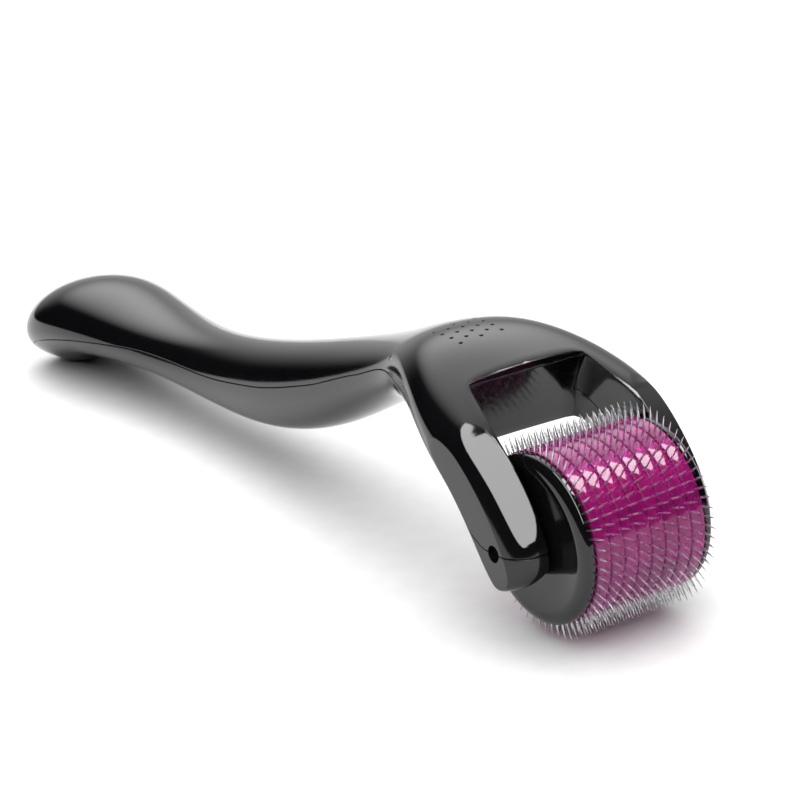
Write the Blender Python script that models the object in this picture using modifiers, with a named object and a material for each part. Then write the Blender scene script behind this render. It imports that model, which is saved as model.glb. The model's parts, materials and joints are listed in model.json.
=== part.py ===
"""A derma roller: a clamshell handle whose fork carries a freely turning drum of needle rings.

Sizes are in millimetres until place() turns them into metres. +X runs forward from the
handle's tail to the drum, +Z is up and the axle lies along Y. Body shapes are written from
the axle: x is measured forward from it, and z from the surface that the roller rests on.
"""

import math

import bmesh
import bpy
from mathutils import Matrix, Vector

MM = 0.001

# Driving dimensions
LENGTH = 137.0          # tail to the front needle tips
DRUM_R = 10.0           # outside radius of the clear discs
NEEDLE_LENGTH = 1.9     # how far the needles stand out of the drum
NEEDLES_PER_ROW = 60
ROWS = 9
ROW_PITCH = 1.875       # from one needle ring to the next
ROW_TWIST = 0.08        # each row's turn past the row before, in needle pitches
RING_THICKNESS = 0.32
RING_R = 9.6            # the carrier ring's rim, just under the discs' surface
DRUM_GAP = 0.15         # between the clamped pieces of the drum
FLANGE_R = 9.87
FLANGE_FACE = 9.05      # outer face of a flange, from the middle plane
BOSS_R = 2.6            # the flange's boss, which keeps it clear of the arm
BOSS_FACE = 9.45
FORK_INNER = 9.75       # inner face of an arm
FORK_OUTER = 14.3       # outer face of an arm
AXLE_R = 0.9
AXLE_HALF = 13.1        # the axle's ends sit below the arms' outer faces
BORE_R = 1.0            # a running fit round the axle
WALL = 1.7              # wall of the handle shells
SEAM_GAP = 0.3          # between the two shells

TIP_R = DRUM_R + NEEDLE_LENGTH
AXLE_X = LENGTH / 2 - TIP_R
AXLE_Z = TIP_R
CORE_R = 5.2            # outside radius of the drum core
LIP_HALF = 8.0          # half width of the window between the arms
ARM_BULGE = 0.9         # how far an arm's cage stands out past its outer face
ARM_CREASE = 0.55       # sharpness of the arms' inner edges
LIP_CREASE = 0.85       # sharpness of the window's lip and of its lower edge
PIN_CHAMFER = 0.25
PIN_CENTRE = 0.12       # the centre hole in the axle's ends
CORE_CHAMFER = 0.3
FLANGE_DISH = 0.15      # depth of the flange's dished face under its rim
BODY_CORE_HALF = 8.3    # the handle's hollow is no wider than this, each side

# Handle stations: x from the axle, height of the middle, half width, half height, and
# how far the bottom point drops below the oval, as the tail's foot does
HANDLE = (
    (-125.2, 4.7, 5.7, 4.0, 0.5),
    (-121.6, 5.8, 9.6, 6.1, 2.4),
    (-113.6, 8.5, 10.4, 5.8, 0.9),
    (-102.8, 8.9, 8.4, 4.3),
    (-91.0, 8.9, 6.6, 3.7),
    (-78.0, 9.0, 6.1, 4.9),
    (-64.0, 10.7, 7.0, 6.3),
    (-50.0, 14.9, 7.1, 6.1),
    (-38.0, 20.2, 7.1, 4.5),
    (-30.0, 23.5, 7.8, 4.5),
)

# Crown rings, half of each: points (x, y, z) from the top middle round to the bottom middle
CROWN = (
    ((-23.5, 0, 30.0), (-23.5, 5.6, 29.7), (-22.9, 9.5, 27.9), (-22.5, 10.8, 24.9),
     (-23.2, 8.6, 21.0), (-24.2, 4.6, 20.0), (-24.4, 0, 19.9)),
    ((-17.0, 0, 29.6), (-17.0, 7.4, 29.0), (-15.6, 12.5, 26.6), (-14.6, 14.3, 23.3),
     (-16.4, 11.8, 19.6), (-19.6, 7.4, 18.3), (-20.0, 0, 18.2)),
    ((-11.6, 0, 27.8), (-12.2, 8.0, 27.0), (-8.6, 13.9, 24.4), (-9.8, 15.2, 21.3),
     (-11.8, 13.6, 18.2), (-15.9, 9.2, 17.5), (-16.6, 0, 17.4)),
)
# The window panel's middle: it leans back under the lip, a little hollow, over the drum
WINDOW_MIDDLE = ((-14.2, 0, 22.6), (-13.9, 8.4, 22.3))

# Arm rings as side-view pairs: front edge (x, z) and back edge (x, z)
ARM = (
    ((-4.4, 23.2), (-9.4, 16.6)),
    ((-0.4, 19.8), (-6.4, 13.0)),
    ((3.0, 15.6), (-4.4, 10.0)),
    ((4.6, 11.4), (-2.2, 7.6)),
    ((3.6, 8.4), (0.2, 6.9)),
)

# The parting line in side view, from behind the tail to in front of the arm tips
SEAM_ARM = ((-140, 1.9), (-126, 1.9), (-116, 5.9), (-105, 8.3), (-92, 9.7), (-78, 10.2),
            (-64, 12.3), (-50, 16.2), (-38, 20.8), (-28, 24.0), (-21, 23.6), (-15, 21.9),
            (-11, 19.6), (-8, 16.9), (-5.6, 14.3), (-3.4, 12.6), (-1.4, AXLE_Z), (20, AXLE_Z))
SEAM_MIDDLE = ((-32, 22.8), (-28, 24.0), (-20, 25.9), (-12, 26.4), (-5, 26.4))

BLACK = (0.012, 0.012, 0.014, 1)
STEEL = (0.62, 0.62, 0.64, 1)
MAGENTA = (0.72, 0.02, 0.42, 1)


def place(x, y, z):
    """A point given from the axle, in millimetres, as world metres."""
    return Vector((AXLE_X + x, y, z)) * MM


def collection(name):
    made = bpy.data.collections.new(name)
    bpy.context.scene.collection.children.link(made)
    return made


def material(name, colour, roughness, metallic=0.0, transmission=0.0):
    made = bpy.data.materials.new(name)
    made.use_nodes = True
    shader = made.node_tree.nodes["Principled BSDF"]
    shader.inputs["Base Color"].default_value = colour
    shader.inputs["Roughness"].default_value = roughness
    shader.inputs["Metallic"].default_value = metallic
    shader.inputs["Transmission Weight"].default_value = transmission
    made.diffuse_color = colour
    return made


def add_object(name, bm, home, finish=None, smooth_angle=35):
    bmesh.ops.recalc_face_normals(bm, faces=bm.faces)
    mesh = bpy.data.meshes.new(name)
    bm.to_mesh(mesh)
    bm.free()
    made = bpy.data.objects.new(name, mesh)
    home.objects.link(made)
    if finish:
        mesh.materials.append(finish)
    mesh.shade_smooth()
    mesh.set_sharp_from_angle(angle=math.radians(smooth_angle))
    return made


def as_cutter(obj):
    obj.hide_render = True
    obj.display_type = "WIRE"
    return obj


def boolean(obj, cutter, operation="DIFFERENCE"):
    cut = obj.modifiers.new(cutter.name, "BOOLEAN")
    cut.operation = operation
    cut.solver = "EXACT"
    cut.object = cutter


def subdivide(obj, levels):
    smooth = obj.modifiers.new("smooth", "SUBSURF")
    smooth.levels = levels
    smooth.render_levels = levels


# --- The body as a subdivision cage -------------------------------------------------------

def oval_half(x, z, half_width, half_height, drop=0.0, inset=0.0, steps=6):
    """Half an oval section from its top round the +Y side to its bottom."""
    points = []
    for k in range(steps + 1):
        turn = math.pi * k / steps
        points.append((x, (half_width - inset) * math.sin(turn), z + (half_height - inset) * math.cos(turn)))
    points[-1] = (x, 0, z - half_height + inset - drop)
    return points


def arm_half(front, back):
    """An arm's six-point ring: inner front, outer front, outer, outer back, inner back, inner."""
    middle = ((front[0] + back[0]) / 2, (front[1] + back[1]) / 2)
    return [
        (front[0], FORK_INNER, front[1]),
        (front[0], FORK_OUTER - 1.0, front[1]),
        (middle[0], FORK_OUTER + ARM_BULGE, middle[1]),
        (back[0], FORK_OUTER - 0.2, back[1]),
        (back[0], FORK_INNER, back[1]),
        (middle[0], FORK_INNER, middle[1]),
    ]


def mirrored(bm):
    """Closes a half cage, which is open at y = 0, with its mirror image."""
    half = bm.verts[:] + bm.edges[:] + bm.faces[:]
    copy = bmesh.ops.duplicate(bm, geom=half)["geom"]
    verts = [part for part in copy if isinstance(part, bmesh.types.BMVert)]
    faces = [part for part in copy if isinstance(part, bmesh.types.BMFace)]
    bmesh.ops.scale(bm, vec=(1, -1, 1), verts=verts)
    bmesh.ops.reverse_faces(bm, faces=faces)
    bmesh.ops.remove_doubles(bm, verts=bm.verts, dist=1e-5)


def skin(bm, lower, upper, closed=False):
    """Quads between two rows of vertices."""
    count = len(lower)
    for k in range(count if closed else count - 1):
        after = (k + 1) % count
        bm.faces.new((lower[k], lower[after], upper[after], upper[k]))


def crease(bm, pairs, amount):
    layer = bm.edges.layers.float.get("crease_edge") or bm.edges.layers.float.new("crease_edge")
    for first, second in pairs:
        edge = bm.edges.get((first, second))
        edge[layer] = amount


def body_cage():
    """The whole fork and handle as one cage, before it is parted into two shells."""
    bm = bmesh.new()
    bm.edges.layers.float.new("crease_edge")
    rings = [oval_half(*station) for station in HANDLE] + [list(ring) for ring in CROWN]
    rows = [[bm.verts.new(place(*point)) for point in ring] for ring in rings]
    for lower, upper in zip(rows, rows[1:]):
        skin(bm, lower, upper)
    tail = rows[0]
    bm.faces.new((tail[0], tail[1], tail[5], tail[6]))
    bm.faces.new((tail[1], tail[2], tail[4], tail[5]))
    bm.faces.new((tail[2], tail[3], tail[4]))

    top, t1, t2, side, b2, b1, bottom = rows[-1]
    centre = bm.verts.new(place(*WINDOW_MIDDLE[0]))
    inner = bm.verts.new(place(*WINDOW_MIDDLE[1]))
    bm.faces.new((top, t1, inner, centre))
    bm.faces.new((centre, inner, b1, bottom))

    ring = [t1, t2, side, b2, b1, inner]
    for front, back in ARM:
        after = [bm.verts.new(place(*point)) for point in arm_half(front, back)]
        skin(bm, ring, after, closed=True)
        crease(bm, [(ring[0], after[0]), (ring[4], after[4])], ARM_CREASE)
        ring = after
    bm.faces.new((ring[0], ring[1], ring[2], ring[5]))
    bm.faces.new((ring[5], ring[2], ring[3], ring[4]))
    crease(bm, [(top, t1), (bottom, b1)], LIP_CREASE)
    mirrored(bm)
    return bm


def core_cage():
    """The hollow inside the handle and the crown."""
    bm = bmesh.new()
    inside = list(HANDLE[1:]) + [(-23.0, 25.0, 8.6, 4.6), (-16.5, 24.6, 8.4, 4.4)]
    rings = []
    for x, z, half_width, half_height, *_ in inside:
        rings.append(oval_half(x, z, min(half_width, BODY_CORE_HALF), half_height, inset=WALL))
    rows = [[bm.verts.new(place(*point)) for point in ring] for ring in rings]
    for lower, upper in zip(rows, rows[1:]):
        skin(bm, lower, upper)
    for end in (rows[0], rows[-1]):
        bm.faces.new((end[0], end[1], end[5], end[6]))
        bm.faces.new((end[1], end[2], end[4], end[5]))
        bm.faces.new((end[2], end[3], end[4]))
    mirrored(bm)
    return bm


def smooth_line(points, per_span=4):
    """Points along a smooth curve through (x, z) points of growing x, with no overshoot."""
    steps = [(after[1] - before[1]) / (after[0] - before[0]) for before, after in zip(points, points[1:])]
    slopes = [steps[0]]
    for before, after in zip(steps, steps[1:]):
        slopes.append(2 * before * after / (before + after) if before * after > 0 else 0.0)
    slopes.append(steps[-1])
    line = []
    for i in range(len(points) - 1):
        span = points[i + 1][0] - points[i][0]
        for k in range(per_span):
            t = k / per_span
            height = ((1 + 2 * t) * (1 - t) ** 2 * points[i][1] + t * (1 - t) ** 2 * span * slopes[i]
                      + t * t * (3 - 2 * t) * points[i + 1][1] + t * t * (t - 1) * span * slopes[i + 1])
            line.append(Vector((points[i][0] + t * span, height)))
    line.append(Vector(points[-1]))
    return line


def below_line(bm, points, floor, half_width, raise_by):
    """A prism under a side-view line, raised along the line's own normal, from -Y to +Y."""
    line = smooth_line(points)
    raised = []
    for i, point in enumerate(line):
        along = (line[min(i + 1, len(line) - 1)] - line[max(i - 1, 0)]).normalized()
        raised.append(point + Vector((-along.y, along.x)) * raise_by)
    outline = raised + [Vector((raised[-1].x, floor)), Vector((raised[0].x, floor))]
    low = [bm.verts.new(place(p.x, -half_width, p.y)) for p in outline]
    high = [bm.verts.new(place(p.x, half_width, p.y)) for p in outline]
    bm.faces.new(low)
    bm.faces.new(high)
    skin(bm, low, high, closed=True)


def lower_region(name, raise_by, home):
    """The space that the lower shell takes, grown by raise_by across the parting line."""
    outer = bmesh.new()
    below_line(outer, SEAM_ARM, -12, 30, raise_by)
    region = as_cutter(add_object(name, outer, home))
    middle = bmesh.new()
    below_line(middle, SEAM_MIDDLE, 10, LIP_HALF + raise_by, raise_by)
    window = as_cutter(add_object(name + "_window", middle, home))
    boolean(region, window, "UNION")
    return region


def cylinder(radius, half_length, segments=40):
    """A solid cylinder about the axle."""
    bm = bmesh.new()
    turn = Matrix.Rotation(math.radians(90), 4, "X")
    bmesh.ops.create_cone(bm, cap_ends=True, segments=segments, radius1=radius * MM, radius2=radius * MM,
                          depth=2 * half_length * MM, matrix=turn)
    bmesh.ops.translate(bm, vec=place(0, 0, AXLE_Z), verts=bm.verts)
    return bm


def block(low, high):
    """A box between two corners given from the axle."""
    bm = bmesh.new()
    bmesh.ops.create_cube(bm, size=1)
    low, high = place(*low), place(*high)
    bmesh.ops.scale(bm, vec=high - low, verts=bm.verts)
    bmesh.ops.translate(bm, vec=(low + high) / 2, verts=bm.verts)
    return bm


def shells(parts, cutters, black):
    """The upper and lower shells, parted from one hollow body."""
    trim = as_cutter(add_object("body_trim", block((-160, -FORK_OUTER, 0), (60, FORK_OUTER, 60)), cutters))
    hollow = as_cutter(add_object("body_hollow", core_cage(), cutters))
    subdivide(hollow, 1)
    bore = as_cutter(add_object("axle_bore", cylinder(BORE_R, 20, 24), cutters))
    sides = (("lower_shell", "INTERSECT", 0.0), ("upper_shell", "DIFFERENCE", SEAM_GAP))
    for name, operation, grow in sides:
        shell = add_object(name, body_cage(), parts, black)
        subdivide(shell, 1)
        boolean(shell, trim, "INTERSECT")
        boolean(shell, lower_region(name + "_parting", grow, cutters), operation)
        boolean(shell, hollow)
        boolean(shell, bore)


# --- The drum ------------------------------------------------------------------------------

def turned(name, profile, home, finish, pivot, segments=40):
    """A turned piece about the axle: profile is (radius, y) points round one closed section."""
    bm = bmesh.new()
    rings = []
    for k in range(segments):
        turn = math.tau * k / segments
        points = [Vector((r * math.cos(turn), y, r * math.sin(turn))) * MM for r, y in profile]
        rings.append([bm.verts.new(point) for point in points])
    for k, ring in enumerate(rings):
        skin(bm, ring, rings[(k + 1) % segments], closed=True)
    made = add_object(name, bm, home, finish)
    made.parent = pivot
    return made


def tube_profile(inner, outer, near, far, chamfer):
    """A tube's section with chamfered rims."""
    return ((inner, near), (inner, far), (outer - chamfer, far), (outer, far - chamfer),
            (outer, near + chamfer), (outer - chamfer, near))


def disc_profile(near, far):
    """A clear disc's plain rectangular section."""
    return ((CORE_R + DRUM_GAP, near), (CORE_R + DRUM_GAP, far), (DRUM_R, far), (DRUM_R, near))


def rim_points(bm, radius, y, turns):
    """One circle of vertices about the axle, at the given turns in radians."""
    return [bm.verts.new(Vector((radius * math.cos(t), y, radius * math.sin(t))) * MM) for t in turns]


def needle_ring(name, y, phase, home, finish, pivot):
    """A thin carrier ring with one row of pointed needles round its rim."""
    bm = bmesh.new()
    half = RING_THICKNESS / 2
    root = math.asin(half / RING_R)
    middles = [math.tau * (k + phase) / NEEDLES_PER_ROW for k in range(NEEDLES_PER_ROW)]
    rim_turns = [turn + side for turn in middles for side in (-root, root)]
    rims = [rim_points(bm, RING_R, y + side, rim_turns) for side in (-half, half)]
    holes = [rim_points(bm, CORE_R + DRUM_GAP, y + side, middles[::2]) for side in (-half, half)]
    tips = rim_points(bm, TIP_R, y, middles)
    count = len(rim_turns)
    for k in range(count):
        after = (k + 1) % count
        wall = (rims[0][k], rims[0][after], rims[1][after], rims[1][k])
        if k % 2:
            bm.faces.new(wall)
            continue
        for first, second in zip(wall, wall[1:] + wall[:1]):
            bm.faces.new((first, second, tips[k // 2]))
    skin(bm, holes[0], holes[1], closed=True)
    for rim, hole in zip(rims, holes):
        for k, vert in enumerate(hole):
            bm.faces.new((vert, rim[4 * k], rim[4 * k + 1]))
            across = [rim[(4 * k + step) % count] for step in (1, 2, 3, 4)]
            bm.faces.new([vert, *across, hole[(k + 1) % len(hole)]])
    made = add_object(name, bm, home, finish, smooth_angle=20)
    made.parent = pivot
    return made


def flange(name, side, home, finish, pivot):
    """A drum end: a dished disc with a raised rim and a boss towards the arm."""
    inside = ROW_PITCH * (ROWS - 1) / 2 + RING_THICKNESS / 2 + DRUM_GAP
    bore = AXLE_R + DRUM_GAP
    profile = (
        (bore, inside), (bore, BOSS_FACE), (BOSS_R - 0.2, BOSS_FACE), (BOSS_R, BOSS_FACE - 0.2),
        (BOSS_R, FLANGE_FACE - 0.25), (FLANGE_R - 1.6, FLANGE_FACE - FLANGE_DISH),
        (FLANGE_R - 1.2, FLANGE_FACE), (FLANGE_R - 0.6, FLANGE_FACE - 0.08),
        (FLANGE_R - 0.12, FLANGE_FACE - 0.4),
        (FLANGE_R, FLANGE_FACE - 0.75), (FLANGE_R, inside),
    )
    return turned(name, [(r, side * y) for r, y in profile], home, finish, pivot)


def drum(parts, black, steel, clear):
    """Everything that turns: the axle, the core, the flanges, the discs and the needle rings."""
    pivot = bpy.data.objects.new("drum_pivot", None)
    pivot.location = place(0, 0, AXLE_Z)
    parts.objects.link(pivot)
    turned("axle_pin", tube_profile(PIN_CENTRE, AXLE_R, -AXLE_HALF, AXLE_HALF, PIN_CHAMFER),
           parts, steel, pivot, 24)
    middle = (ROWS - 1) / 2
    core_half = ROW_PITCH * middle + RING_THICKNESS / 2
    turned("drum_core", tube_profile(AXLE_R + DRUM_GAP, CORE_R, -core_half, core_half, CORE_CHAMFER),
           parts, clear, pivot, 40)
    flange("left_flange", -1, parts, black, pivot)
    flange("right_flange", 1, parts, black, pivot)
    edge = RING_THICKNESS / 2 + DRUM_GAP
    for k in range(ROWS):
        y = (k - middle) * ROW_PITCH
        needle_ring(f"needle_ring_{k + 1}", y, (k - middle) * ROW_TWIST, parts, steel, pivot)
        if k < ROWS - 1:
            turned(f"drum_disc_{k + 1}",
                   disc_profile(y + edge, y + ROW_PITCH - edge), parts, clear, pivot, 36)


def build():
    for obj in list(bpy.data.objects):
        bpy.data.objects.remove(obj, do_unlink=True)
    parts = collection("derma_roller")
    cutters = collection("cutters")
    black = material("gloss_black", BLACK, 0.12)
    steel = material("needle_steel", STEEL, 0.22, metallic=1.0)
    clear = material("clear_magenta", MAGENTA, 0.08, transmission=0.6)
    shells(parts, cutters, black)
    drum(parts, black, steel, clear)


build()
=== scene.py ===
"""Looks for the derma roller: fine shells, clear drum, round needles and studio light.

Shapes are written in millimetres from the axle, as the CAD is, and place() sets them in the
frame. x runs forward from the axle, y along it, and z up from the surface below.
"""

import json
import math

import bmesh
import bpy
from mathutils import Matrix, Vector


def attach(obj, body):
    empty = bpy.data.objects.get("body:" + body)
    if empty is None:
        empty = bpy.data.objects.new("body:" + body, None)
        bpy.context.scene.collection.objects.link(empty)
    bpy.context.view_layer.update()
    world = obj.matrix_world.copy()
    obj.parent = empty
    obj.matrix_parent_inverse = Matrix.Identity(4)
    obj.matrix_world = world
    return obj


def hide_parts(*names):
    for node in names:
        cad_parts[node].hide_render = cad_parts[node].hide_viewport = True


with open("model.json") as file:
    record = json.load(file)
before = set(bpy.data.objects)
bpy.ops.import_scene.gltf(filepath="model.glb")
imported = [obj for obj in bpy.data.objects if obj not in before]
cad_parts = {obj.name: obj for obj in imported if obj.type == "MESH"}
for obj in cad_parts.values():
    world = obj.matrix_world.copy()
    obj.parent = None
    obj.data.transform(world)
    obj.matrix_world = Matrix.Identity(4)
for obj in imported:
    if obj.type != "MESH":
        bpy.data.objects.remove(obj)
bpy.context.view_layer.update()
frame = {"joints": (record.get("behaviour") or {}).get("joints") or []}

MM = 0.001
AXLE = Vector(frame["joints"][0]["pos_m"]) / MM      # the axle's middle, in millimetres

# Sizes that the fine pieces share with the CAD
DRUM_R = 10.0
TIP_R = AXLE.z          # the needles' tips touch the surface below
NEEDLES_PER_ROW = 60
ROWS = 9
ROW_PITCH = 1.875
ROW_TWIST = 0.08        # how far each row is turned on from the last, in needle pitches
CORE_R = 5.2
CORE_HALF = 7.6
AXLE_R = 0.9
AXLE_HALF = 13.1
FLANGE_R = 9.87
FLANGE_FACE = 9.05
FLANGE_INSIDE = 7.72
FORK_INNER = 9.75
FORK_OUTER = 14.3
BORE_R = 1.0
WALL = 1.7
BODY_CORE_HALF = 8.3    # the hollow follows the body's half width up to this
LIP_HALF = 8.0          # half the width of the window's lip

# Sizes of the fine features
SEAM = 0.12             # width of the fine seam between the shells
SHARP_SHELL = 14        # degrees at which a fine shell's edge stays sharp
FACE_NORMAL = Vector((0.677, 0.736))                     # (x, z) normal of the arms' front faces
FACE_ALONG = Vector((FACE_NORMAL.y, -FACE_NORMAL.x))     # and the way down the arm
FACE_REACH = 14.0       # how far each way the cut for a face goes along the arm
FACE_STEPS = 30         # and the steps in that line
FACET_HEIGHT = 13.5     # of the arms' lens-shaped faces along the normal
FACET_MIDDLE = -15.0    # their middle along the arm
FACET_MIDDLE_Y = 12.0
FACET_LEAN = 0.32       # their slope outwards
FACET_BEND = 0.018      # their fall along the arm, by the distance from the middle squared
LIP_HEIGHT = 12.11      # of the flat along the window's lip
DISC_GAP = 0.03         # half the gap between neighbouring discs
DISC_SHOULDER = 0.16
NEEDLE_SIDES = 8
NEEDLE_STATIONS = (     # (radius from the axle, the needle's own radius), root to point
    (8.9, 0.125),
    (DRUM_R + 0.55, 0.12),
    (DRUM_R + 1.2, 0.085),
    (TIP_R - 0.25, 0.04),
    (TIP_R - 0.02, 0.008),
)

# The camera: its place from the axle, and where it looks, in degrees
CAMERA_PLACE = (266.27, -197.22, AXLE.z + 138.92)
CAMERA_HEADING = 32.88  # round from the handle's line
CAMERA_DOWN = 20.41
CAMERA_ROLL = -3.92
CAMERA_LENS = 144

# The handle's stations, as (x, height of the middle, half width, half height, droop of the
# lowest point). The crown's rings, the arms and the seam are points given from the axle. The
# crown's top is 0.06 lower than the CAD's, so that the finer surface stays inside its box.
HANDLE = (
    (-125.2, 4.7, 5.7, 4.0, 0.5),
    (-121.6, 5.8, 9.6, 6.1, 2.4),
    (-113.6, 8.5, 10.4, 5.8, 0.9),
    (-102.8, 8.9, 8.4, 4.3),
    (-91.0, 8.9, 6.6, 3.7),
    (-78.0, 9.0, 6.1, 4.9),
    (-64.0, 10.7, 7.0, 6.3),
    (-50.0, 14.9, 7.1, 6.1),
    (-38.0, 20.2, 7.1, 4.5),
    (-30.0, 23.5, 7.8, 4.5),
)
CROWN = (
    ((-23.5, 0, 29.94), (-23.5, 5.6, 29.7), (-22.9, 9.5, 27.9), (-22.5, 10.8, 24.9),
     (-23.2, 8.6, 21.0), (-24.2, 4.6, 20.0), (-24.4, 0, 19.9)),
    ((-17.0, 0, 29.54), (-17.0, 7.4, 29.0), (-15.6, 12.5, 26.6), (-14.6, 14.3, 23.3),
     (-16.4, 11.8, 19.6), (-19.6, 7.4, 18.3), (-20.0, 0, 18.2)),
    ((-11.6, 0, 27.8), (-12.2, 8.0, 27.0), (-8.6, 13.9, 24.4), (-9.8, 15.2, 21.3),
     (-11.8, 13.6, 18.2), (-15.9, 9.2, 17.5), (-16.6, 0, 17.4)),
)
WINDOW_MIDDLE = ((-14.2, 0, 22.6), (-13.9, 8.4, 22.3))
ARM = (
    ((-4.4, 23.2), (-9.4, 16.6)),
    ((-0.4, 19.8), (-6.4, 13.0)),
    ((3.0, 15.6), (-4.4, 10.0)),
    ((4.6, 11.4), (-2.2, 7.6)),
    ((3.6, 8.4), (0.2, 6.9)),
)
SEAM_ARM = ((-140, 1.9), (-126, 1.9), (-116, 5.9), (-105, 8.3), (-92, 9.7), (-78, 10.2),
            (-64, 12.3), (-50, 16.2), (-38, 20.8), (-28, 24.0), (-21, 23.6), (-15, 21.9),
            (-11, 19.6), (-8, 16.9), (-5.6, 14.3), (-3.4, 12.6), (-1.4, TIP_R), (20, TIP_R))
SEAM_MIDDLE = ((-32, 22.8), (-28, 24.0), (-20, 25.9), (-12, 26.4), (-5, 26.4))


def place(x, y, z):
    """A point given from the axle, in millimetres, as world metres."""
    return Vector((AXLE.x + x, y, z)) * MM


# --- Materials -----------------------------------------------------------------------------

class Finish:
    """A node material: a Principled shader, with helpers for the textures that drive it."""

    def __init__(self, name, **values):
        self.material = bpy.data.materials.new(name)
        self.material.use_nodes = True
        self.tree = self.material.node_tree
        self.shader = self.tree.nodes["Principled BSDF"]
        self.place = self.node("ShaderNodeTexCoord").outputs["Object"]
        for socket, value in values.items():
            self.shader.inputs[socket.replace("_", " ")].default_value = value

    def node(self, kind, **settings):
        made = self.tree.nodes.new(kind)
        for key, value in settings.items():
            if key in made.inputs:
                made.inputs[key].default_value = value
            else:
                setattr(made, key, value)
        return made

    def link(self, output, socket):
        self.tree.links.new(output, socket)

    def noise(self, scale, detail=4.0, roughness=0.55, stretch=(1, 1, 1)):
        mapping = self.node("ShaderNodeMapping", Scale=stretch)
        self.link(self.place, mapping.inputs["Vector"])
        made = self.node("ShaderNodeTexNoise", Scale=scale, Detail=detail, Roughness=roughness)
        self.link(mapping.outputs["Vector"], made.inputs["Vector"])
        return made.outputs["Fac"]

    def spread(self, output, low, high, start=0.3, stop=0.7):
        """The output's values from start to stop, spread from low to high."""
        made = self.node("ShaderNodeMapRange")
        ends = {"From Min": start, "From Max": stop, "To Min": low, "To Max": high}
        for socket, value in ends.items():
            made.inputs[socket].default_value = value
        self.link(output, made.inputs["Value"])
        return made.outputs["Result"]

    def colours(self, output, first, second, start=0.35, stop=0.65):
        ramp = self.node("ShaderNodeValToRGB")
        ramp.color_ramp.elements[0].position = start
        ramp.color_ramp.elements[0].color = first
        ramp.color_ramp.elements[1].position = stop
        ramp.color_ramp.elements[1].color = second
        self.link(output, ramp.inputs["Fac"])
        return ramp.outputs["Color"]

    def bump(self, output, distance, strength=1.0, normal=None):
        made = self.node("ShaderNodeBump", Strength=strength, Distance=distance)
        self.link(output, made.inputs["Height"])
        if normal:
            self.link(normal, made.inputs["Normal"])
        return made.outputs["Normal"]

    def edge(self, radius):
        """Normals rounded over the edges, as a mould leaves them."""
        made = self.node("ShaderNodeBevel", Radius=radius)
        made.samples = 4
        return made.outputs["Normal"]


def gloss_black(name, roughness, edge_radius):
    """Polished black moulding: near-black, with faint flow marks, handling haze and a soft edge."""
    finish = Finish(name, IOR=1.5)
    flow = finish.noise(38, detail=3, stretch=(0.35, 1, 1))
    haze = finish.noise(160, detail=6, roughness=0.6)
    finish.link(finish.colours(flow, (0.0025, 0.0025, 0.0032, 1), (0.0045, 0.0042, 0.0048, 1)),
                finish.shader.inputs["Base Color"])
    finish.link(finish.spread(haze, roughness * 0.75, roughness * 1.35),
                finish.shader.inputs["Roughness"])
    ripple = finish.noise(95, detail=2)
    rounded = finish.edge(edge_radius) if edge_radius else None
    finish.link(finish.bump(ripple, 0.00002, 0.35, rounded), finish.shader.inputs["Normal"])
    return finish.material


def clear_magenta(name, transmission, colour, deep, roughness):
    """Clear tinted plastic, a little uneven in tint and polish."""
    finish = Finish(name, IOR=1.49)
    finish.shader.inputs["Transmission Weight"].default_value = transmission
    finish.shader.inputs["Specular IOR Level"].default_value = 0.2
    cloud = finish.noise(240, detail=3)
    finish.link(finish.colours(cloud, deep, colour), finish.shader.inputs["Base Color"])
    finish.link(finish.spread(finish.noise(420, detail=4), roughness * 0.6, roughness * 1.5),
                finish.shader.inputs["Roughness"])
    finish.link(finish.bump(finish.noise(520, detail=2), 0.00002, 0.5), finish.shader.inputs["Normal"])
    return finish.material


def bright_steel(name, tint, roughness, stretch):
    """Ground steel: fine grinding marks drawn out along one direction."""
    finish = Finish(name, Metallic=0.9)
    marks = finish.noise(900, detail=3, stretch=stretch)
    finish.link(finish.colours(marks, [c * 0.86 for c in tint] + [1], list(tint) + [1]),
                finish.shader.inputs["Base Color"])
    finish.link(finish.spread(marks, roughness * 0.7, roughness * 1.4),
                finish.shader.inputs["Roughness"])
    finish.link(finish.bump(marks, 0.000004, 0.4), finish.shader.inputs["Normal"])
    return finish.material


# --- Mesh helpers --------------------------------------------------------------------------

def add_object(name, bm, finish=None, smooth_angle=32):
    bmesh.ops.recalc_face_normals(bm, faces=bm.faces)
    mesh = bpy.data.meshes.new(name)
    bm.to_mesh(mesh)
    bm.free()
    made = bpy.data.objects.new(name, mesh)
    bpy.context.scene.collection.objects.link(made)
    if finish:
        mesh.materials.append(finish)
    mesh.shade_smooth()
    mesh.set_sharp_from_angle(angle=math.radians(smooth_angle))
    return made


def boolean(obj, cutter, operation="DIFFERENCE"):
    cut = obj.modifiers.new(cutter.name, "BOOLEAN")
    cut.operation = operation
    cut.solver = "EXACT"
    cut.object = cutter


def subdivide(obj, levels):
    smooth = obj.modifiers.new("smooth", "SUBSURF")
    smooth.levels = levels
    smooth.render_levels = levels


def settle(obj, smooth_angle=32):
    """Replaces the object's mesh with what its modifiers make of it."""
    bpy.context.view_layer.update()
    graph = bpy.context.evaluated_depsgraph_get()
    mesh = bpy.data.meshes.new_from_object(obj.evaluated_get(graph))
    obj.modifiers.clear()
    obj.data = mesh
    mesh.shade_smooth()
    mesh.set_sharp_from_angle(angle=math.radians(smooth_angle))
    return obj


def skin(bm, lower, upper, closed=False):
    """Faces between two rows of vertices."""
    count = len(lower)
    for k in range(count if closed else count - 1):
        after = (k + 1) % count
        bm.faces.new((lower[k], lower[after], upper[after], upper[k]))


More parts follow.
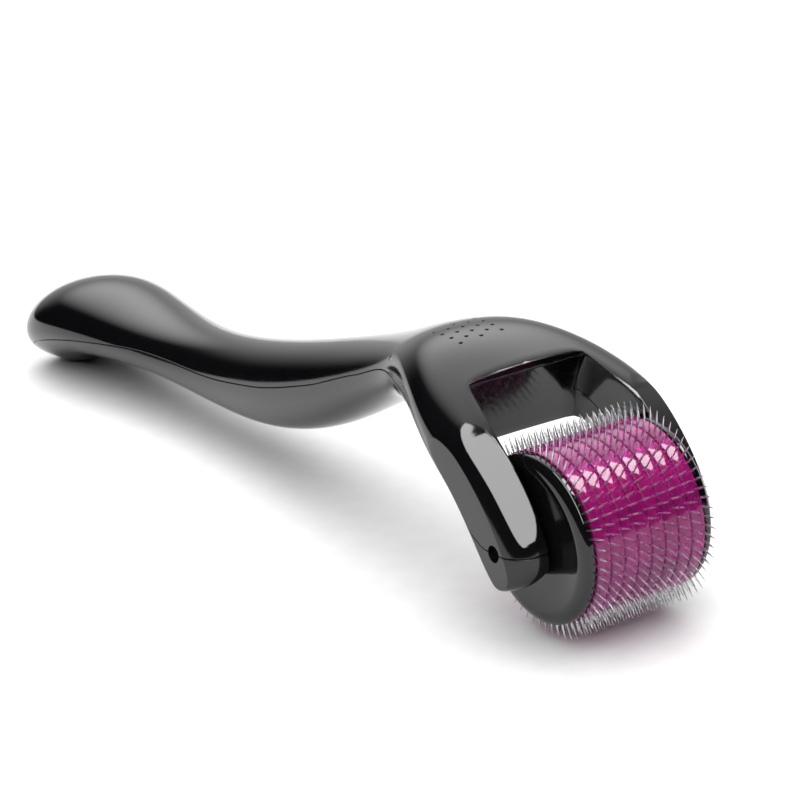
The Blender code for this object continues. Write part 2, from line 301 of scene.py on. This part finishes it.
def mirrored(bm):
    """Closes a half cage, which is open at y = 0, with its mirror image."""
    half = bm.verts[:] + bm.edges[:] + bm.faces[:]
    copy = bmesh.ops.duplicate(bm, geom=half)["geom"]
    verts = [part for part in copy if isinstance(part, bmesh.types.BMVert)]
    faces = [part for part in copy if isinstance(part, bmesh.types.BMFace)]
    bmesh.ops.scale(bm, vec=(1, -1, 1), verts=verts)
    bmesh.ops.reverse_faces(bm, faces=faces)
    bmesh.ops.remove_doubles(bm, verts=bm.verts, dist=1e-5)


def crease(bm, pairs, amount):
    """Holds the edges between the pairs of vertices sharper when the cage is subdivided."""
    layer = bm.edges.layers.float["crease_edge"]
    for first, second in pairs:
        bm.edges.get((first, second))[layer] = amount


# --- The shells ----------------------------------------------------------------------------

def oval_half(x, z, half_width, half_height, drop=0.0, inset=0.0, steps=6):
    """Half an oval section from its top to its lowest point, which may droop further."""
    wide, high = half_width - inset, half_height - inset
    points = []
    for k in range(steps + 1):
        turn = math.pi * k / steps
        points.append((x, wide * math.sin(turn), z + high * math.cos(turn)))
    points[-1] = (x, 0, z - high - drop)
    return points


def arm_half(front, back):
    """The ring of points round one arm, from its front (x, z) and its back."""
    middle = ((front[0] + back[0]) / 2, (front[1] + back[1]) / 2)
    return [
        (front[0], FORK_INNER, front[1]),
        (front[0], FORK_OUTER - 1.0, front[1]),
        (middle[0], FORK_OUTER + 0.9, middle[1]),
        (back[0], FORK_OUTER - 0.2, back[1]),
        (back[0], FORK_INNER, back[1]),
        (middle[0], FORK_INNER, middle[1]),
    ]


def body_cage():
    """The coarse form of the handle, the crown and both arms, as one closed body."""
    bm = bmesh.new()
    bm.edges.layers.float.new("crease_edge")
    rings = [oval_half(*station) for station in HANDLE] + [list(ring) for ring in CROWN]
    rows = [[bm.verts.new(place(*point)) for point in ring] for ring in rings]
    for lower, upper in zip(rows, rows[1:]):
        skin(bm, lower, upper)
    tail = rows[0]
    bm.faces.new((tail[0], tail[1], tail[5], tail[6]))
    bm.faces.new((tail[1], tail[2], tail[4], tail[5]))
    bm.faces.new((tail[2], tail[3], tail[4]))
    top, t1, t2, side, b2, b1, bottom = rows[-1]
    centre = bm.verts.new(place(*WINDOW_MIDDLE[0]))
    inner = bm.verts.new(place(*WINDOW_MIDDLE[1]))
    bm.faces.new((top, t1, inner, centre))
    bm.faces.new((centre, inner, b1, bottom))
    ring = [t1, t2, side, b2, b1, inner]
    for front, back in ARM:
        after = [bm.verts.new(place(*point)) for point in arm_half(front, back)]
        skin(bm, ring, after, closed=True)
        crease(bm, [(ring[0], after[0]), (ring[4], after[4])], 0.55)
        ring = after
    bm.faces.new((ring[0], ring[1], ring[2], ring[5]))
    bm.faces.new((ring[5], ring[2], ring[3], ring[4]))
    crease(bm, [(top, t1), (bottom, b1)], 0.8)
    crease(bm, [(t1, inner), (inner, b1)], 0.6)
    mirrored(bm)
    return bm


def core_cage():
    """The coarse form of the hollow inside the handle and the crown."""
    bm = bmesh.new()
    inside = list(HANDLE[1:]) + [(-23.0, 25.0, 8.6, 4.6), (-16.5, 24.6, 8.4, 4.4)]
    rings = []
    for x, z, half_width, half_height, *_ in inside:
        rings.append(oval_half(x, z, min(half_width, BODY_CORE_HALF), half_height, inset=WALL))
    rows = [[bm.verts.new(place(*point)) for point in ring] for ring in rings]
    for lower, upper in zip(rows, rows[1:]):
        skin(bm, lower, upper)
    for end in (rows[0], rows[-1]):
        bm.faces.new((end[0], end[1], end[5], end[6]))
        bm.faces.new((end[1], end[2], end[4], end[5]))
        bm.faces.new((end[2], end[3], end[4]))
    mirrored(bm)
    return bm


def smooth_line(points, per_span=14):
    """Points along a smooth curve through (x, z) points of growing x, with no overshoot."""
    steps = [(after[1] - before[1]) / (after[0] - before[0]) for before, after in zip(points, points[1:])]
    slopes = [steps[0]]
    for before, after in zip(steps, steps[1:]):
        slopes.append(2 * before * after / (before + after) if before * after > 0 else 0.0)
    slopes.append(steps[-1])
    line = []
    for i in range(len(points) - 1):
        span = points[i + 1][0] - points[i][0]
        for k in range(per_span):
            t = k / per_span
            height = ((1 + 2 * t) * (1 - t) ** 2 * points[i][1] + t * (1 - t) ** 2 * span * slopes[i]
                      + t * t * (3 - 2 * t) * points[i + 1][1] + t * t * (t - 1) * span * slopes[i + 1])
            line.append(Vector((points[i][0] + t * span, height)))
    line.append(Vector(points[-1]))
    return line


def below_line(bm, points, floor, half_width, raise_by):
    """Adds the block below a smooth line of (x, z) points that is first raised a little."""
    line = smooth_line(points)
    raised = []
    for i, point in enumerate(line):
        along = (line[min(i + 1, len(line) - 1)] - line[max(i - 1, 0)]).normalized()
        raised.append(point + Vector((-along.y, along.x)) * raise_by)
    outline = raised + [Vector((raised[-1].x, floor)), Vector((raised[0].x, floor))]
    low = [bm.verts.new(place(p.x, -half_width, p.y)) for p in outline]
    high = [bm.verts.new(place(p.x, half_width, p.y)) for p in outline]
    bm.faces.new(low)
    bm.faces.new(high)
    skin(bm, low, high, closed=True)


def lower_region(name, raise_by):
    """The space below the seam, with its edge raised by a given amount."""
    outer = bmesh.new()
    below_line(outer, SEAM_ARM, -12, 30, raise_by)
    region = add_object(name, outer)
    middle = bmesh.new()
    below_line(middle, SEAM_MIDDLE, 10, LIP_HALF + raise_by, raise_by)
    window = add_object(name + "_window", middle)
    boolean(region, window, "UNION")
    settle(region)
    bpy.data.objects.remove(window)
    return region


def cylinder(radius, half_length, segments):
    bm = bmesh.new()
    turn = Matrix.Rotation(math.radians(90), 4, "X")
    bmesh.ops.create_cone(bm, cap_ends=True, segments=segments, radius1=radius * MM, radius2=radius * MM,
                          depth=2 * half_length * MM, matrix=turn)
    bmesh.ops.translate(bm, vec=place(0, 0, AXLE.z), verts=bm.verts)
    return bm


def block(low, high):
    bm = bmesh.new()
    bmesh.ops.create_cube(bm, size=1)
    low, high = place(*low), place(*high)
    bmesh.ops.scale(bm, vec=high - low, verts=bm.verts)
    bmesh.ops.translate(bm, vec=(low + high) / 2, verts=bm.verts)
    return bm


def face_outline(y, height, on_arm):
    """One side of the space in front of a face, at y: the face's line and a step away from it."""
    clear = FACE_NORMAL * 9
    outline = []
    for k in range(FACE_STEPS + 1):
        offset = FACE_REACH * (2 * k / FACE_STEPS - 1)
        fall = 0.0
        if on_arm:
            fall = FACET_LEAN * (abs(y) - FACET_MIDDLE_Y) + FACET_BEND * offset ** 2
        outline.append(FACE_ALONG * (FACET_MIDDLE + offset) + FACE_NORMAL * (height - fall))
    return outline + [outline[-1] + clear, outline[0] + clear]


def front_faces():
    """The space in front of three faces: each arm's long lens-shaped front face, which curves
    less than the arm and leans outwards, and the narrow flat along the lip over the window."""
    arm_inner, arm_outer = 9.25, 16.0
    lip = LIP_HALF + 0.3
    bm = bmesh.new()
    for near, far, height, on_arm in ((-arm_inner, -arm_outer, FACET_HEIGHT, True),
                                      (arm_inner, arm_outer, FACET_HEIGHT, True),
                                      (-lip, lip, LIP_HEIGHT, False)):
        rings = []
        for y in (near, far):
            outline = face_outline(y, height, on_arm)
            rings.append([bm.verts.new(place(point.x, y, point.y)) for point in outline])
        bm.faces.new(rings[0])
        bm.faces.new(rings[1])
        skin(bm, rings[0], rings[1], closed=True)
    return add_object("front_faces", bm)


def dimples(shell):
    """Small round dimples in a staggered grid on the crown, each sunk along the surface normal."""
    first_x, middle_y = -24.3, -1.3
    spacing, row_gap = 1.84, 1.45
    mouth, floor_radius, height = 0.3, 0.17, 0.6
    bm = bmesh.new()
    for row in range(5):
        stagger = row % 2
        for column in range(4 - stagger):
            x = first_x + spacing * (column + stagger / 2)
            above = place(x, middle_y + row_gap * (row - 2), 40)
            hit, point, normal, _ = shell.ray_cast(above, Vector((0, 0, -1)))
            if not hit:
                continue
            turn = normal.to_track_quat("Z", "Y").to_matrix().to_4x4()
            bmesh.ops.create_cone(bm, cap_ends=True, segments=16, radius1=floor_radius * MM,
                                  radius2=mouth * MM, depth=height * MM,
                                  matrix=Matrix.Translation(point) @ turn)
    return add_object("dimples", bm)


def neck_notches():
    """Leaf-shaped recesses where the neck runs into the crown's flanks."""
    half_length, half_width, depth = 4.4, 0.8, 0.55
    bm = bmesh.new()
    for side in (-1, 1):
        along = Vector((5, side * 2, -5)).normalized()
        out = Vector((-0.25, side, 0.1)).normalized()
        across = along.cross(out).normalized()
        out = across.cross(along).normalized()
        leaf = Matrix((along * half_length, across * half_width, out * depth)).transposed().to_4x4()
        leaf = Matrix.Translation(place(-26.0, side * 8.3, 22.8)) @ Matrix.Scale(MM, 4) @ leaf
        bmesh.ops.create_uvsphere(bm, u_segments=32, v_segments=20, radius=1.0, matrix=leaf)
    return add_object("neck_notches", bm)


def shells(black):
    """Both shells, cut from the smooth body: parted along the seam, hollowed, bored and faced."""
    levels = 3
    trim = add_object("trim", block((-160, -FORK_OUTER, 0), (60, FORK_OUTER, 60)))
    hollow = add_object("hollow", core_cage())
    subdivide(hollow, 2)
    settle(hollow)
    bore = add_object("bore", cylinder(BORE_R, 20, 48))
    details = [hollow, bore, front_faces(), neck_notches()]
    cutters = [trim] + details
    for name, node, operation, grow in (("fine_lower_shell", "lower_shell", "INTERSECT", 0.0),
                                        ("fine_upper_shell", "upper_shell", "DIFFERENCE", SEAM)):
        shell = add_object(name, body_cage(), black)
        subdivide(shell, levels)
        region = lower_region(name + "_parting", grow)
        cutters.append(region)
        boolean(shell, trim, "INTERSECT")
        boolean(shell, region, operation)
        for cutter in details:
            boolean(shell, cutter)
        settle(shell, SHARP_SHELL)
        if node == "upper_shell":
            dots = dimples(shell)
            cutters.append(dots)
            boolean(shell, dots)
            settle(shell, SHARP_SHELL)
        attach(shell, "handle")
        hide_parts(node)
    for cutter in cutters:
        bpy.data.objects.remove(cutter)


# --- The drum ------------------------------------------------------------------------------

def turned(name, profile, finish, segments=160, smooth_angle=32):
    """A piece turned about the axle: profile is (radius, y) points round one closed section."""
    bm = bmesh.new()
    rings = []
    for k in range(segments):
        turn = math.tau * k / segments
        rings.append([bm.verts.new(place(r * math.cos(turn), y, AXLE.z + r * math.sin(turn)))
                      for r, y in profile])
    for k, ring in enumerate(rings):
        skin(bm, ring, rings[(k + 1) % segments], closed=True)
    return add_object(name, bm, finish, smooth_angle)


def on_drum(obj, slot, *nodes):
    """Attaches a piece to the drum and hides the CAD nodes that it replaces."""
    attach(obj, "drum")
    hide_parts(*nodes)


def arc(centre_r, centre_y, radius_r, radius_y, start, stop, steps=7):
    """Points (radius, y) round part of an ellipse, in degrees from the outward radius towards +y."""
    points = []
    for k in range(steps + 1):
        turn = math.radians(start + (stop - start) * k / steps)
        points.append((centre_r + radius_r * math.cos(turn), centre_y + radius_y * math.sin(turn)))
    return points


def flange(name, node, side, black):
    """A drum end with a dished face, a rounded rim and a boss towards the arm."""
    shoulder = 8.2, 8.1         # the rounded rim's centre, as (radius, y)
    profile = [(1.05, FLANGE_INSIDE), (1.05, 9.4), (2.35, 9.4), (2.55, 9.2), (2.65, 9.0)]
    profile += [(3.2, 8.93), (5.5, 8.9), (7.6, 8.92)]
    profile += reversed(arc(*shoulder, FLANGE_R - shoulder[0], FLANGE_FACE - shoulder[1], 0, 90, 12))
    profile += [(FLANGE_R, FLANGE_INSIDE + 0.1), (FLANGE_R - 0.1, FLANGE_INSIDE)]
    made = turned(name, [(r, side * y) for r, y in profile], black)
    on_drum(made, "flange_black", node)


def discs(clear):
    """Eight clear discs with rounded shoulders, almost touching."""
    half = ROW_PITCH / 2 - DISC_GAP
    bore = CORE_R + 0.1
    top = DRUM_R - DISC_SHOULDER
    for k in range(ROWS - 1):
        y = (k + 0.5 - (ROWS - 1) / 2) * ROW_PITCH
        profile = [(bore, y - half), (bore, y + half)]
        profile += reversed(arc(top, y + half - DISC_SHOULDER, DISC_SHOULDER, DISC_SHOULDER, 0, 90, 4))
        profile += reversed(arc(top, y - half + DISC_SHOULDER, DISC_SHOULDER, DISC_SHOULDER, -90, 0, 4))
        made = turned(f"clear_disc_{k + 1}", profile, clear, 160, 50)
        on_drum(made, "clear_magenta", f"drum_disc_{k + 1}")


def needle(bm, turn, y):
    """One round needle with a long ground point, from its root inside the drum."""
    outward = Vector((math.cos(turn), 0, math.sin(turn)))
    across = Vector((0, 1, 0))
    other = outward.cross(across)
    rows = []
    for radius, thickness in NEEDLE_STATIONS:
        row = []
        for k in range(NEEDLE_SIDES):
            angle = math.tau * k / NEEDLE_SIDES
            point = outward * radius + (across * math.cos(angle) + other * math.sin(angle)) * thickness
            row.append(bm.verts.new(place(point.x, y + point.y, AXLE.z + point.z)))
        rows.append(row)
    for lower, upper in zip(rows, rows[1:]):
        skin(bm, lower, upper, closed=True)
    bm.faces.new(list(reversed(rows[0])))
    bm.faces.new(rows[-1])


def needle_rows(steel):
    """Nine rows of needles, each row turned on a little from the last."""
    for k in range(ROWS):
        place_in_row = k - (ROWS - 1) / 2
        bm = bmesh.new()
        for n in range(NEEDLES_PER_ROW):
            turn = math.tau * (n + place_in_row * ROW_TWIST) / NEEDLES_PER_ROW
            needle(bm, turn, place_in_row * ROW_PITCH)
        made = add_object(f"needles_{k + 1}", bm, steel, 60)
        on_drum(made, "needle_steel", f"needle_ring_{k + 1}")


def drum(black, clear, core_finish, steel):
    discs(clear)
    tube = [(1.0, -CORE_HALF), (1.0, CORE_HALF), (CORE_R, CORE_HALF), (CORE_R, -CORE_HALF)]
    core = turned("clear_core", tube, core_finish, 96)
    on_drum(core, "clear_magenta", "drum_core")
    flange("fine_left_flange", "left_flange", -1, black)
    flange("fine_right_flange", "right_flange", 1, black)
    needle_rows(steel)


def axle(steel):
    """The pin through the drum, with chamfered ends."""
    flat, centre, chamfer = AXLE_R - 0.25, 0.02, AXLE_HALF - 0.25
    profile = [(centre, -AXLE_HALF), (flat, -AXLE_HALF), (AXLE_R, -chamfer),
               (AXLE_R, chamfer), (flat, AXLE_HALF), (centre, AXLE_HALF)]
    made = turned("fine_axle", profile, steel, 48)
    on_drum(made, "axle_steel", "axle_pin")


# --- The studio ----------------------------------------------------------------------------

def camera():
    """A long lens from the front left, a little above the crown."""
    view = bpy.data.cameras.new("camera")
    view.lens = CAMERA_LENS
    view.sensor_width = 36
    view.clip_start = 0.01
    made = bpy.data.objects.new("camera", view)
    made.location = place(*CAMERA_PLACE)
    heading, down, roll = map(math.radians, (CAMERA_HEADING, CAMERA_DOWN, CAMERA_ROLL))
    level_ahead = math.cos(down)
    ahead = Vector((-level_ahead * math.cos(heading), level_ahead * math.sin(heading), -math.sin(down)))
    level = ahead.cross(Vector((0, 0, 1))).normalized()
    above = level.cross(ahead)
    right = level * math.cos(roll) + above * math.sin(roll)
    up = above * math.cos(roll) - level * math.sin(roll)
    made.rotation_euler = Matrix((right, up, -ahead)).transposed().to_euler()
    bpy.context.scene.collection.objects.link(made)
    bpy.context.scene.camera = made


def softbox(name, location, target, width, height, power):
    """A rectangle of white light that faces the target."""
    light = bpy.data.lights.new(name, "AREA")
    light.shape = "RECTANGLE"
    light.size = width
    light.size_y = height
    light.energy = power
    made = bpy.data.objects.new(name, light)
    made.location = location
    made.rotation_euler = (Vector(target) - Vector(location)).to_track_quat("-Z", "Y").to_euler()
    bpy.context.scene.collection.objects.link(made)
    return made


def floor():
    """Pale paper, a hair below the object so that the two never share a plane."""
    finish = Finish("floor_paper", Roughness=0.75)
    finish.shader.inputs["Specular IOR Level"].default_value = 0.2
    fibre = finish.noise(300, detail=5)
    finish.link(finish.colours(fibre, (0.86, 0.86, 0.86, 1), (0.89, 0.89, 0.89, 1)),
                finish.shader.inputs["Base Color"])
    bm = bmesh.new()
    bmesh.ops.create_grid(bm, x_segments=8, y_segments=8, size=3.0)
    made = add_object("floor", bm, finish.material)
    made.location.z = -0.00005


def towards(x, y, z, distance, target=(0.03, 0, 0.015)):
    """The point at a distance from the target along a direction."""
    return Vector(target) + Vector((x, y, z)).normalized() * distance


def glow(tree, direction, start, stop, strength):
    """Soft light from one side of the room: full near the direction, none past the start."""
    facing = tree.nodes.new("ShaderNodeVectorMath")
    facing.operation = "DOT_PRODUCT"
    facing.inputs[1].default_value = Vector(direction).normalized()
    ease = tree.nodes.new("ShaderNodeMapRange")
    ease.interpolation_type = "SMOOTHSTEP"
    ends = {"From Min": start, "From Max": stop, "To Min": 0.0, "To Max": strength}
    for socket, value in ends.items():
        ease.inputs[socket].default_value = value
    tree.links.new(tree.nodes["Texture Coordinate"].outputs["Generated"], facing.inputs[0])
    tree.links.new(facing.outputs["Value"], ease.inputs["Value"])
    return ease.outputs["Result"]


def studio():
    """A dark room for the gloss to mirror, with a white wall and a soft glow behind the object.

    The key and the strip overhead are there to be mirrored, the key by the drum and the strip by
    the arm's lens-shaped face, and they light no matt surface. The wide fill lights the floor,
    and nothing mirrors it.
    """
    world = bpy.data.worlds.new("studio")
    bpy.context.scene.world = world
    world.use_nodes = True
    tree = world.node_tree
    background = tree.nodes["Background"]
    tree.nodes.new("ShaderNodeTexCoord")
    total = tree.nodes.new("ShaderNodeMath")
    total.operation = "ADD"
    tree.links.new(glow(tree, (-0.66, 0.72, 0.14), 0.52, 0.92, 0.7), total.inputs[0])
    tree.links.new(glow(tree, (-0.55, 0.34, 0.74), 0.80, 0.985, 2.1), total.inputs[1])
    tree.links.new(total.outputs["Value"], background.inputs["Strength"])
    background.inputs["Color"].default_value = (1.0, 1.0, 1.0, 1)
    head = (0.045, 0, 0.02)
    key = softbox("key", towards(0.16, 0.50, 0.85, 1.2), head, 0.46, 0.40, 8.0)
    strip = softbox("strip", towards(0.438, -0.02, 0.899, 1.2), head, 0.34, 1.8, 19.0)
    for light in (key, strip):
        light.visible_diffuse = False
    fill = softbox("fill", towards(0.15, -0.15, 0.97, 1.1), head, 2.4, 2.4, 40.0)
    fill.visible_glossy = False
    bpy.context.scene.view_settings.view_transform = "Standard"


def build():
    camera()
    floor()
    studio()
    shell_black = gloss_black("shell_black", 0.09, 0.00018)
    flange_black = gloss_black("flange_black", 0.06, 0.0)
    clear = clear_magenta("clear_magenta", 0.78, (0.74, 0.034, 0.43, 1), (0.52, 0.018, 0.30, 1), 0.07)
    core = clear_magenta("core_magenta", 0.0, (0.55, 0.02, 0.28, 1), (0.42, 0.012, 0.22, 1), 0.25)
    needle_steel = bright_steel("needle_steel", (0.74, 0.74, 0.77), 0.26, (1, 1, 1))
    axle_steel = bright_steel("axle_steel", (0.5, 0.5, 0.52), 0.3, (1, 0.1, 1))
    shells(shell_black)
    drum(flange_black, clear, core, needle_steel)
    axle(axle_steel)


build()
